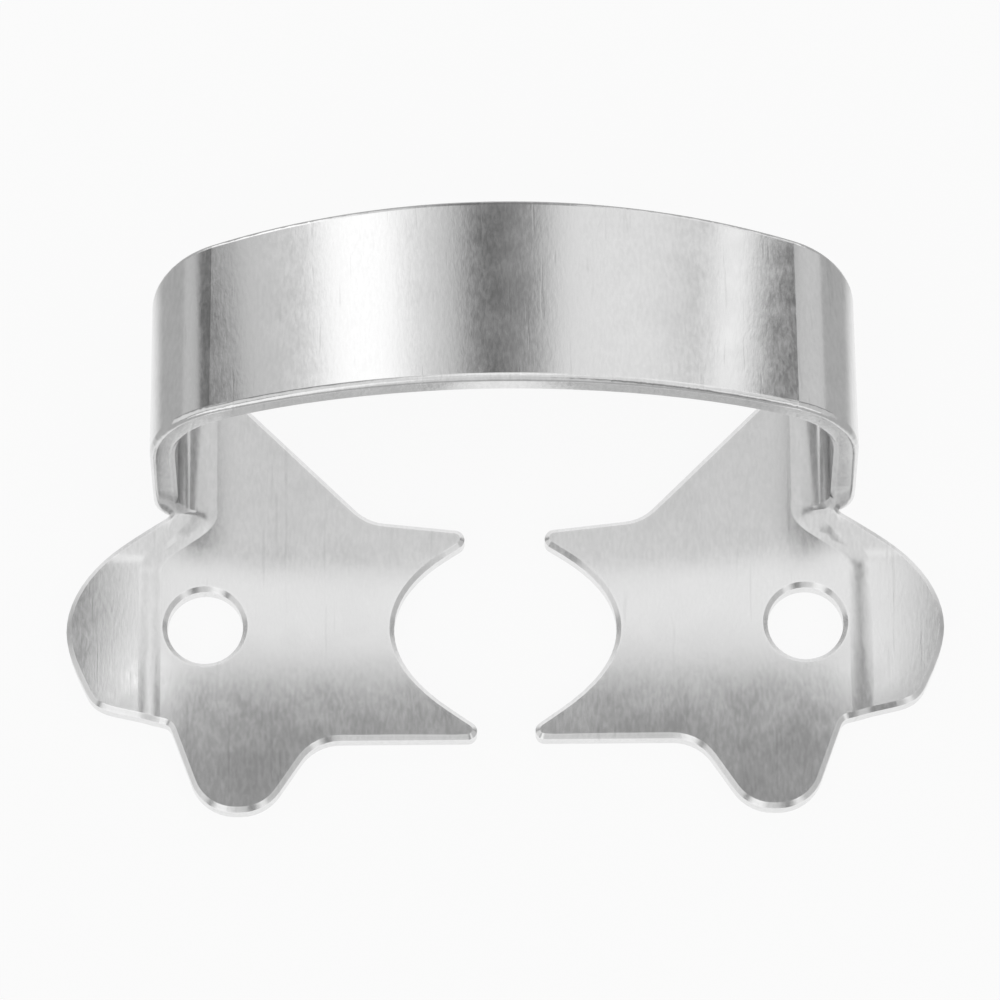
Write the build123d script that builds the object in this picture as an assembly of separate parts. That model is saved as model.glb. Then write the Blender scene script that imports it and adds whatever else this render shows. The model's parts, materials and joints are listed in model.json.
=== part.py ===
from build123d import *
from math import asin, ceil, cos, degrees, radians, sin, tan
import os

# Winged rubber dam clamp, stamped and bent from one strip of spring steel.
# Millimetres. X runs from jaw to jaw, +Y towards the back of the mouth, +Z up.
# Plan sizes are measured from the middle of the line through the two forceps holes.

# Sheet
sheet = 0.8
edge_round = 0.2
edge_break = 0.15

# Forceps holes
hole_d = 2.46
hole_x = 9.72

# Fold between jaw plate and side wall
wall_x = 11.35
fold_r = 1.2
neck_front = 3.75
neck_back = 9.2
neck_corner_r = 1.2

# Lateral wing on a low shoulder, which grows into the fold behind the hole
shoulder_gap = 0.2
shoulder_angle = 16
shoulder_end = 1.9
root_angle = 32
crest_r = 0.6
wing_root_x = 10.8
wing_root_r = 0.4
wing_start = (11.7, 3.2)
wing_back = (13.0, 2.3)
wing_tip = (14.2, -0.2)
wing_front = (13.6, -2.1)
wing_front_end = (12.6, -2.9)
wing_corner = (10.85, -3.3)
wing_corner_r = 0.4

# Bow
bow_height = 9.9
bow_width = 6.7
bow_lean = 10
bow_top_r = 24.0
bow_corner_r = 3.3
wall_foot = 0.6
wall_blend = 0.5

# Tooth opening and prongs
opening_half = 3.6
back_prong_inner = (1.9, 2.4)
back_prong_tip = (0.7, 3.18)
back_tip_r = 0.32
front_prong_inner = (1.75, -2.85)
front_prong_tip_x = 0.3
front_tip_r = 0.3
jaw_front = -3.88

# Neck and front wing
neck_root = (4.45, 3.6)
neck_root_r = 1.5
neck_slope = 45
front_wing_inset = 1.09
front_wing_width = 2.01
front_wing_flare = 1.6
front_wing_end = -6.27
front_wing_r = 1.5

os.makedirs("parts", exist_ok=True)

fold_outer_r = fold_r + sheet
fold_x = wall_x - fold_outer_r
neck_rise = tan(radians(neck_slope))
reach = 20


def sheet_section(*lines):
    """Close a bent line into a section one sheet thick, on the left of the line."""
    return make_face(offset(Wire(lines), amount=sheet, side=Side.LEFT))


def along_y(section):
    """Run a section drawn in X and Z a long way both ways along Y."""
    return extrude(Plane.XZ * section, amount=reach, both=True)


def block(front_left, back_right):
    """A block over a rectangle of the plan, up to the top of the fold."""
    width = back_right[0] - front_left[0]
    depth = back_right[1] - front_left[1]
    corner = Pos(front_left[0], front_left[1], fold_outer_r - reach)
    return corner * Box(width, depth, reach, align=Align.MIN)


def sharp_edges(body, wanted):
    """Edges where two faces meet at a clear angle and one of them is wanted, by its place and normal."""
    faces = body.faces()
    sharp = []
    for edge in body.edges():
        middle = edge @ 0.5
        normals = [face.normal_at(middle) for face in faces if edge in face.edges()]
        if len(normals) == 2 and normals[0].get_angle(normals[1]) > 45:
            if any(wanted(middle, normal) for normal in normals):
                sharp.append(edge)
    return sharp


def anywhere(point, normal):
    """Every face."""
    return True


# Jaw sheet: plate, shoulder and level wing, lofted along Y as the shoulder turns into the fold
shoulder_x = hole_x + hole_d / 2 + shoulder_gap


def jaw_section(y, growth):
    """Section of the jaw sheet, from the low front shoulder (0) to the bend of the fold (1)."""
    bend_x = shoulder_x + (fold_x - shoulder_x) * growth
    angle = shoulder_angle + (root_angle - shoulder_angle) * growth
    plate = Line((0, 0), (bend_x, 0))
    shoulder = JernArc(plate @ 1, plate % 1, fold_outer_r, angle)
    crest = JernArc(shoulder @ 1, shoulder % 1, crest_r, -angle)
    wing = Line(crest @ 1, (reach, (crest @ 1).Y))
    plane = Plane((0, y, 0), x_dir=(1, 0, 0), z_dir=(0, -1, 0))
    return plane * sheet_section(plate, shoulder, crest, wing)


neck_end = (wing_root_x, neck_root[1] + (wing_root_x - neck_root[0]) * neck_rise)
growth_steps = 4
step_length = (neck_front - shoulder_end) / growth_steps
front_steps = ceil((shoulder_end - front_wing_end) / step_length) + 1
back_steps = ceil((neck_end[1] - neck_front) / step_length) + 1
jaw_sections = []
for step in range(-front_steps, growth_steps + back_steps + 1):
    share = min(max(step / growth_steps, 0), 1)
    growth = share * share * (3 - 2 * share)
    jaw_sections.append(jaw_section(shoulder_end + step * step_length, growth))
jaw_sheet = loft(jaw_sections)

# Jaw outline from above: neck, wing, front wing, prongs and tooth opening
back_edge = FilletPolyline(
    back_prong_inner,
    back_prong_tip,
    neck_root,
    neck_end,
    (wing_root_x, neck_front),
    wing_start,
    radius=(back_tip_r, neck_root_r, sheet, wing_root_r),
)
front_wing_outer_x = wing_corner[0] - front_wing_inset
front_wing_inner_x = front_wing_outer_x - front_wing_width
front_wing_root_x = front_wing_inner_x - front_wing_flare
front_edge = FilletPolyline(
    wing_front_end,
    wing_corner,
    (front_wing_outer_x, front_wing_end),
    (front_wing_inner_x, front_wing_end),
    (front_wing_root_x, jaw_front),
    (front_prong_tip_x, jaw_front),
    front_prong_inner,
    radius=(wing_corner_r, front_wing_r, front_wing_r, front_wing_r, front_tip_r),
)
wing_edge = Spline(
    wing_start,
    wing_back,
    wing_tip,
    wing_front,
    wing_front_end,
    tangents=[back_edge % 1, front_edge % 0],
)
tooth_edge = Spline(
    front_prong_inner,
    (opening_half, 0),
    back_prong_inner,
    tangents=[front_edge % 1, back_edge % 0],
)
jaw_outline = make_face([back_edge, wing_edge, front_edge, tooth_edge])
jaw = jaw_sheet & extrude(jaw_outline, amount=reach, both=True)
jaw -= Pos(hole_x, 0, 0) * Cylinder(hole_d / 2, reach)
jaw = chamfer(sharp_edges(jaw, anywhere), edge_break)

# The fold takes over from the jaw sheet behind the wing
shared_x = fold_x + fold_r * sin(radians(root_angle))
overlap = 2 * edge_break
jaw -= block((fold_x, neck_front + overlap), (reach, reach))
jaw -= block((shared_x, neck_front), (reach, reach))

# Bow section: plate, fold and side wall
foot_z = fold_outer_r + wall_foot
fold_start = Line((fold_x - sheet, 0), (fold_x, 0))
fold_line = JernArc(fold_start @ 1, fold_start % 1, fold_outer_r, 90)
neck_outline = make_face(
    FilletPolyline(
        (neck_root[0] + (neck_front - neck_root[1]) / neck_rise, neck_front),
        (reach, neck_front),
        (reach, neck_back),
        (neck_root[0] + (neck_back - neck_root[1]) / neck_rise, neck_back),
        close=True,
        radius=(0, 0, 0, neck_corner_r),
    )
)
fold_sheet = along_y(sheet_section(fold_start, fold_line))
fold = fold_sheet & extrude(neck_outline, amount=reach, both=True)

# Arch and side wall, drawn upright and then leaned back about the foot of the front edge
lean_sin = sin(radians(bow_lean))
lean_cos = cos(radians(bow_lean))
arch_height = (bow_height - foot_z) / lean_cos
top_angle = degrees(asin((wall_x - bow_corner_r) / (bow_top_r - bow_corner_r)))
corner_z = arch_height - bow_top_r + (bow_top_r - bow_corner_r) * cos(radians(top_angle))
wall_line = Line((wall_x, corner_z - reach), (wall_x, corner_z))
corner_line = JernArc(wall_line @ 1, wall_line % 1, bow_corner_r, 90 - top_angle)
top_line = JernArc(corner_line @ 1, corner_line % 1, bow_top_r, top_angle)
arch_sheet = along_y(sheet_section(wall_line, corner_line, top_line))
arch_sheet = Pos(0, neck_front, foot_z) * Rot(X=-bow_lean) * arch_sheet

# Side outline of the bow: it widens from the neck to the top
front_foot = Vector(neck_front, foot_z)
back_foot = Vector(neck_back, foot_z)
front_top = front_foot + Vector(lean_sin, lean_cos) * arch_height
back_top = front_top + Vector(lean_cos, -lean_sin) * bow_width
back_lean = Vector(0, 1).get_angle(back_top - back_foot)
front_blend_r = wall_blend / tan(radians(bow_lean / 2))
back_blend_r = wall_blend / tan(radians(back_lean / 2))
side_outline = make_face(
    FilletPolyline(
        (neck_front, fold_outer_r),
        front_foot,
        front_foot + (front_top - front_foot) * 1.5,
        back_foot + (back_top - back_foot) * 1.5,
        back_foot,
        (neck_back, fold_outer_r),
        close=True,
        radius=(0, front_blend_r, 0, 0, back_blend_r, 0),
    )
)
bow = fold + (arch_sheet & extrude(Plane.YZ * side_outline, amount=reach))
bow += mirror(bow, Plane.YZ)


def on_bow(point, normal):
    """Faces of the bow, apart from its two cut ends inside the jaw plates."""
    return abs(point.X) > fold_x - 0.9 * sheet


def outside_bow(point, normal):
    """Faces on the outer side of the bow."""
    outward = (point - Vector(0, point.Y, foot_z)).normalized()
    return on_bow(point, normal) and normal.dot(outward) > 0.5


bow = fillet(sharp_edges(bow, outside_bow), edge_round)
bow = chamfer(sharp_edges(bow, on_bow), edge_break)
bow -= block((-fold_x, -reach), (fold_x, reach))

# Whole clamp, moved so that the origin is under the middle of its footprint
clamp = jaw + mirror(jaw, Plane.YZ) + bow
clamp = Pos(0, -clamp.bounding_box().center().Y, 0) * clamp
export_step(clamp, "parts/clamp.step")
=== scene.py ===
import json
from math import cos, pi, radians, sin

import bpy
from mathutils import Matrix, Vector

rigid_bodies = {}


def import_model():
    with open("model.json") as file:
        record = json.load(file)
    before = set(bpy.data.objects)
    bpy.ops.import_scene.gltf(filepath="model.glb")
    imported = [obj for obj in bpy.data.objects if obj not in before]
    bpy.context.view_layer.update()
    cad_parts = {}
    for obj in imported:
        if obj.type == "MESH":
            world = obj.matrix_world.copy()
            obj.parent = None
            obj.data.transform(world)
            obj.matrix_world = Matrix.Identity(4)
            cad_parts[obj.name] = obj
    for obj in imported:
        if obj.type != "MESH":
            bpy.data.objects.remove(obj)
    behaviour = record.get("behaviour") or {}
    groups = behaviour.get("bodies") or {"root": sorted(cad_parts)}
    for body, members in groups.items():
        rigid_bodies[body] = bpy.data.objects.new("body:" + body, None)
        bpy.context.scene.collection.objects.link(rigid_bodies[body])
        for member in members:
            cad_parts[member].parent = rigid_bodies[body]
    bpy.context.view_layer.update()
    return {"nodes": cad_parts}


for old in list(bpy.data.objects):
    bpy.data.objects.remove(old, do_unlink=True)

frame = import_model()
clamp = frame["nodes"]["clamp"]
scene = bpy.context.scene

# Lengths and places are in millimetres, and angles in degrees unless their name says radians
MM = 0.001
WHITE = (1.0, 1.0, 1.0, 1.0)

# Steel: noise scales are features per metre, and NOISE_SPAN is where most of the noise lies
NOISE_SPAN = (0.3, 0.7)
GRAIN_SCALE = 9000
GRAIN_STRETCH = (1.0, 0.35, 0.6)
GRAIN_DETAIL = 3.0
GRAIN_ROUGHNESS = 0.6
GRAIN_SHADES = (0.77, 0.83)
MOTTLE_SCALE = 900
MOTTLE_SHADE = 0.02
SCRATCH_SCALE = 5000
SCRATCH_STRETCH = (1.0, 0.05, 0.3)
SCRATCH_TURN_RADIANS = 0.35
SCRATCH_SPAN = (0.64, 0.72)
SCRATCH_SHADE = 0.05
SCRATCH_DEPTH = 0.3
RIM_RADIUS = 0.15
RIM_SAMPLES = 3
RIM_AGREEMENT = (0.90, 0.99)
# Painted highlight: how much lighter the rims are painted in the base colour
RIM_PAINTED_HIGHLIGHT = 0.10
POLISH_HEIGHTS = (2.0, 6.0)
POLISH_ROUGHNESS = (0.20, 0.14)
POLISH_SWING = 0.02
BUMP_STRENGTH = 0.06
BUMP_DISTANCE = 0.02

# Floor: what the clamp mirrors of it has a painted fall-off of light between the two reaches from its
# middle
FLOOR_SIZE = 4000.0
FLOOR_SHADE = 0.93
FLOOR_ROUGHNESS = 0.9
FLOOR_GLOW = 0.9
PAINTED_FALL_OFF_REACH = (14.0, 22.0)
PAINTED_FALL_OFF = 0.55

# Studio walls: brightness at the left and right ends, then light boxes and dark gaps,
# each with its centre, width, softness at the edges and brightness, laid over those before it
WALL_SPAN = (-65, 65)
WALL_BEHIND = (0.60, 0.66)
PANELS_BEHIND = (
    (-38, 20, 2, 0.68),
    (-19, 12, 6, 0.88),
    (-26.5, 14, 3, 1.30),
    (-48.5, 8.5, 1, 0.15),
    (20, 24, 5, 0.90),
    (1, 15, 5, 0.28),
    (-3, 7, 3, 0.15),
    (39.5, 4, 1.5, 1.25),
    (45.5, 4.5, 1.5, 0.15),
    (72, 18, 3, 0.30),
    (-72, 18, 3, 0.30),
)
WALL_IN_FRONT = (0.80, 0.60)
PANELS_IN_FRONT = (
    (-25, 22, 6, 1.10),
    (18, 12, 4, 0.25),
    (38, 14, 3, 1.00),
    (-46, 8, 3, 0.25),
)
WALLS_MEET = (70, 95)

# Studio ceiling: its spans and edge are parts of a direction of length 1
CEILING_SPAN = (0.15, 0.45)
CEILING = (0.30, 1.00)
ZENITH_SPAN = (0.08, 0.22)
ZENITH = 0.8
CEILING_EDGE = (0.79, 0.85)
CEILING_SAG = 0.15

# Soft boxes above the jaws and wings: name, place along X and Y, width, depth and brightness
SOFT_BOXES = (
    ("jaw_box", 0.6, 5.65, 28.8, 6.7, 0.056),
    ("left_wing_box", -13.0, 1.55, 2.4, 1.8, 0.09),
    ("right_wing_box", 13.0, 1.55, 2.4, 1.8, 0.06),
)
BOX_HEIGHT = 20.0
BOX_TILT = -20
BOX_SPREAD = 50

# Camera: VIEW_WIDTH is what the picture spans at the aim
CAMERA_ELEVATION = 70.0
CAMERA_TURN_RADIANS = -0.0083
CAMERA_DISTANCE = 225.5
CAMERA_AIM = (-0.145, 0.714, 3.313)
VIEW_WIDTH = 32.19
SENSOR_WIDTH = 36.0
CLIP_START = 10.0


def new_node(tree, kind, **inputs):
    """Add a node and set the named inputs that are constants."""
    node = tree.nodes.new(kind)
    for name, value in inputs.items():
        node.inputs[name.replace("_", " ")].default_value = value
    return node


def math_node(tree, operation, first, second=None):
    """Add a math node whose inputs are sockets or numbers."""
    node = tree.nodes.new("ShaderNodeMath")
    node.operation = operation
    for socket, value in zip(node.inputs, (first, second)):
        if isinstance(value, (int, float)):
            socket.default_value = value
        elif value is not None:
            tree.links.new(value, socket)
    return node.outputs[0]


def map_range(tree, value, span, results):
    """Map a value smoothly from a span to a pair of results, held at both ends."""
    node = new_node(
        tree,
        "ShaderNodeMapRange",
        From_Min=span[0],
        From_Max=span[1],
        To_Min=results[0],
        To_Max=results[1],
    )
    node.interpolation_type = "SMOOTHSTEP"
    tree.links.new(value, node.inputs["Value"])
    return node.outputs["Result"]


def laid_over(tree, below, above, cover):
    """Brightness below, hidden by the one above as far as the cover goes, from 0 to 1."""
    change = math_node(tree, "MULTIPLY", cover, math_node(tree, "SUBTRACT", above, below))
    return math_node(tree, "ADD", below, change)


def noise(tree, vector, scale, detail=2.0, roughness=0.5):
    """Noise of a given number of features per metre."""
    node = new_node(tree, "ShaderNodeTexNoise", Scale=scale, Detail=detail, Roughness=roughness)
    tree.links.new(vector, node.inputs["Vector"])
    return node.outputs["Fac"]


def stretched(tree, vector, scale, turn=0.0):
    """Coordinates turned about Z and scaled axis by axis, for grain and scratches."""
    node = new_node(tree, "ShaderNodeMapping", Scale=scale, Rotation=(0.0, 0.0, turn))
    tree.links.new(vector, node.inputs["Vector"])
    return node.outputs["Vector"]


def swing(tree, pattern, amount):
    """Noise turned into a change of up to an amount either way."""
    return map_range(tree, pattern, NOISE_SPAN, (-amount, amount))


def rims(tree):
    """Mask of the rims for the painted highlight, where a softened normal no longer agrees with the
    surface's own.
    """
    softened = new_node(tree, "ShaderNodeBevel", Radius=RIM_RADIUS * MM)
    softened.samples = RIM_SAMPLES
    surface = tree.nodes.new("ShaderNodeNewGeometry")
    agreement = tree.nodes.new("ShaderNodeVectorMath")
    agreement.operation = "DOT_PRODUCT"
    tree.links.new(softened.outputs["Normal"], agreement.inputs[0])
    tree.links.new(surface.outputs["Normal"], agreement.inputs[1])
    return map_range(tree, agreement.outputs["Value"], RIM_AGREEMENT, (1.0, 0.0))


def satin_steel():
    """Satin spring steel: tumbled grain, mottling, faint scratches, and rims lightened by a painted
    highlight.
    """
    steel = bpy.data.materials.new("satin_steel")
    steel.use_nodes = True
    tree = steel.node_tree
    shader = tree.nodes["Principled BSDF"]
    shader.inputs["Metallic"].default_value = 1.0
    place = tree.nodes.new("ShaderNodeTexCoord").outputs["Object"]
    along_grain = stretched(tree, place, GRAIN_STRETCH)
    grain = noise(tree, along_grain, GRAIN_SCALE, GRAIN_DETAIL, GRAIN_ROUGHNESS)
    mottle = noise(tree, place, MOTTLE_SCALE)
    along_scratches = stretched(tree, place, SCRATCH_STRETCH, SCRATCH_TURN_RADIANS)
    scratches = map_range(tree, noise(tree, along_scratches, SCRATCH_SCALE), SCRATCH_SPAN, (0.0, 1.0))

    shade = map_range(tree, grain, NOISE_SPAN, GRAIN_SHADES)
    shade = math_node(tree, "ADD", shade, swing(tree, mottle, MOTTLE_SHADE))
    # Painted highlight: the rims are lightened in the base colour
    shade = math_node(tree, "ADD", shade, math_node(tree, "MULTIPLY", rims(tree), RIM_PAINTED_HIGHLIGHT))
    shade = math_node(tree, "SUBTRACT", shade, math_node(tree, "MULTIPLY", scratches, SCRATCH_SHADE))
    colour = tree.nodes.new("ShaderNodeCombineColor")
    for channel in ("Red", "Green", "Blue"):
        tree.links.new(shade, colour.inputs[channel])
    tree.links.new(colour.outputs["Color"], shader.inputs["Base Color"])

    # The bow is polished a little brighter than the jaws
    height = tree.nodes.new("ShaderNodeSeparateXYZ")
    tree.links.new(place, height.inputs["Vector"])
    low, high = POLISH_HEIGHTS
    rough = map_range(tree, height.outputs["Z"], (low * MM, high * MM), POLISH_ROUGHNESS)
    rough = math_node(tree, "ADD", rough, swing(tree, mottle, POLISH_SWING))
    rough = math_node(tree, "ADD", rough, swing(tree, grain, POLISH_SWING))
    tree.links.new(rough, shader.inputs["Roughness"])

    relief = math_node(tree, "SUBTRACT", grain, math_node(tree, "MULTIPLY", scratches, SCRATCH_DEPTH))
    bump = new_node(tree, "ShaderNodeBump", Strength=BUMP_STRENGTH, Distance=BUMP_DISTANCE * MM)
    tree.links.new(relief, bump.inputs["Height"])
    tree.links.new(bump.outputs["Normal"], shader.inputs["Normal"])
    return steel


def white_paper():
    """Paper, almost white to the camera with a faint shadow, and with a painted fall-off of light
    where mirrored from afar.
    """
    paper = bpy.data.materials.new("white_paper")
    paper.use_nodes = True
    tree = paper.node_tree
    shader = tree.nodes["Principled BSDF"]
    shader.inputs["Base Color"].default_value = (FLOOR_SHADE, FLOOR_SHADE, FLOOR_SHADE, 1.0)
    shader.inputs["Roughness"].default_value = FLOOR_ROUGHNESS
    shader.inputs["Specular IOR Level"].default_value = 0.0

    reach = tree.nodes.new("ShaderNodeVectorMath")
    reach.operation = "LENGTH"
    tree.links.new(tree.nodes.new("ShaderNodeTexCoord").outputs["Object"], reach.inputs[0])
    # Painted light: the floor's glow, as the clamp mirrors it, dims away from its middle
    near, far = PAINTED_FALL_OFF_REACH
    painted_fall_off = map_range(tree, reach.outputs["Value"], (near * MM, far * MM), (0.0, PAINTED_FALL_OFF))
    path = tree.nodes.new("ShaderNodeLightPath").outputs
    mirrored = math_node(tree, "MAXIMUM", path["Is Glossy Ray"], path["Is Transmission Ray"])
    dimmed = math_node(tree, "MULTIPLY", mirrored, painted_fall_off)
    glow = new_node(tree, "ShaderNodeEmission", Color=WHITE)
    tree.links.new(math_node(tree, "SUBTRACT", 1.0, dimmed), glow.inputs["Strength"])

    shown = math_node(tree, "MAXIMUM", path["Is Camera Ray"], mirrored)
    blend = tree.nodes.new("ShaderNodeMixShader")
    tree.links.new(math_node(tree, "MULTIPLY", shown, FLOOR_GLOW), blend.inputs["Fac"])
    tree.links.new(shader.outputs["BSDF"], blend.inputs[1])
    tree.links.new(glow.outputs["Emission"], blend.inputs[2])
    tree.links.new(blend.outputs["Shader"], tree.nodes["Material Output"].inputs["Surface"])
    return paper


def wall(tree, turn, ends, panels):
    """Brightness of a studio wall by the turn about the vertical, with its panels laid over it."""
    light = map_range(tree, turn, WALL_SPAN, ends)
    for centre, width, soft, brightness in panels:
        off_centre = math_node(tree, "ABSOLUTE", math_node(tree, "SUBTRACT", turn, centre))
        edge = (width / 2 - soft, width / 2 + soft)
        light = laid_over(tree, light, brightness, map_range(tree, off_centre, edge, (1.0, 0.0)))
    return light


def studio():
    """World of light boxes and dark gaps all round, under a ceiling."""
    world = bpy.data.worlds.new("studio")
    world.use_nodes = True
    tree = world.node_tree
    parts = tree.nodes.new("ShaderNodeSeparateXYZ")
    tree.links.new(tree.nodes.new("ShaderNodeTexCoord").outputs["Generated"], parts.inputs["Vector"])
    x, y, z = parts.outputs

    # Walls behind the bow and in front of it, in degrees from straight behind or straight in front
    turn = math_node(tree, "DEGREES", math_node(tree, "ARCTAN2", x, y))
    behind = wall(tree, turn, WALL_BEHIND, PANELS_BEHIND)
    forward = math_node(tree, "MULTIPLY", y, -1.0)
    turn_in_front = math_node(tree, "DEGREES", math_node(tree, "ARCTAN2", x, forward))
    in_front = wall(tree, turn_in_front, WALL_IN_FRONT, PANELS_IN_FRONT)
    past_sides = map_range(tree, math_node(tree, "ABSOLUTE", turn), WALLS_MEET, (0.0, 1.0))
    walls = laid_over(tree, behind, in_front, past_sides)

    # Ceiling, bright on the right, even from the zenith to the front, and reaching lower at the sides
    ceiling = map_range(tree, x, CEILING_SPAN, CEILING)
    ceiling = laid_over(tree, ceiling, ZENITH, map_range(tree, y, ZENITH_SPAN, (1.0, 0.0)))
    sag = math_node(tree, "MULTIPLY", math_node(tree, "ABSOLUTE", x), CEILING_SAG)
    overhead = map_range(tree, math_node(tree, "ADD", z, sag), CEILING_EDGE, (0.0, 1.0))
    light = laid_over(tree, walls, ceiling, overhead)

    background = tree.nodes["Background"]
    background.inputs["Color"].default_value = WHITE
    tree.links.new(light, background.inputs["Strength"])
    return world


# Clamp
clamp.data.materials.clear()
clamp.data.materials.append(satin_steel())

# Pale floor
bpy.ops.mesh.primitive_plane_add(size=FLOOR_SIZE * MM, location=(0.0, 0.0, 0.0))
floor = bpy.context.object
floor.name = "floor"
floor.data.materials.append(white_paper())

# Studio light: the front edge of the wide soft box leaves the front of the jaws darker
scene.world = studio()
for name, box_x, box_y, width, depth, brightness in SOFT_BOXES:
    box_light = bpy.data.lights.new(name, "AREA")
    box_light.shape = "RECTANGLE"
    box_light.size = width * MM
    box_light.size_y = depth * MM
    box_light.spread = radians(BOX_SPREAD)
    box_light.energy = brightness * pi * box_light.size * box_light.size_y
    box = bpy.data.objects.new(name, box_light)
    box.location = Vector((box_x, box_y, BOX_HEIGHT)) * MM
    box.rotation_euler = (radians(BOX_TILT), 0.0, 0.0)
    scene.collection.objects.link(box)

# Camera at the photo's viewing angle
camera_data = bpy.data.cameras.new("camera")
camera = bpy.data.objects.new("camera", camera_data)
scene.collection.objects.link(camera)
scene.camera = camera
elevation = radians(CAMERA_ELEVATION)
towards_camera = Vector(
    (
        cos(elevation) * sin(CAMERA_TURN_RADIANS),
        -cos(elevation) * cos(CAMERA_TURN_RADIANS),
        sin(elevation),
    )
)
camera.location = (Vector(CAMERA_AIM) + towards_camera * CAMERA_DISTANCE) * MM
camera.rotation_mode = "QUATERNION"
camera.rotation_quaternion = towards_camera.to_track_quat("Z", "Y")
camera_data.sensor_width = SENSOR_WIDTH
camera_data.lens = SENSOR_WIDTH * CAMERA_DISTANCE / VIEW_WIDTH
camera_data.clip_start = CLIP_START * MM

scene.view_settings.view_transform = "Standard"
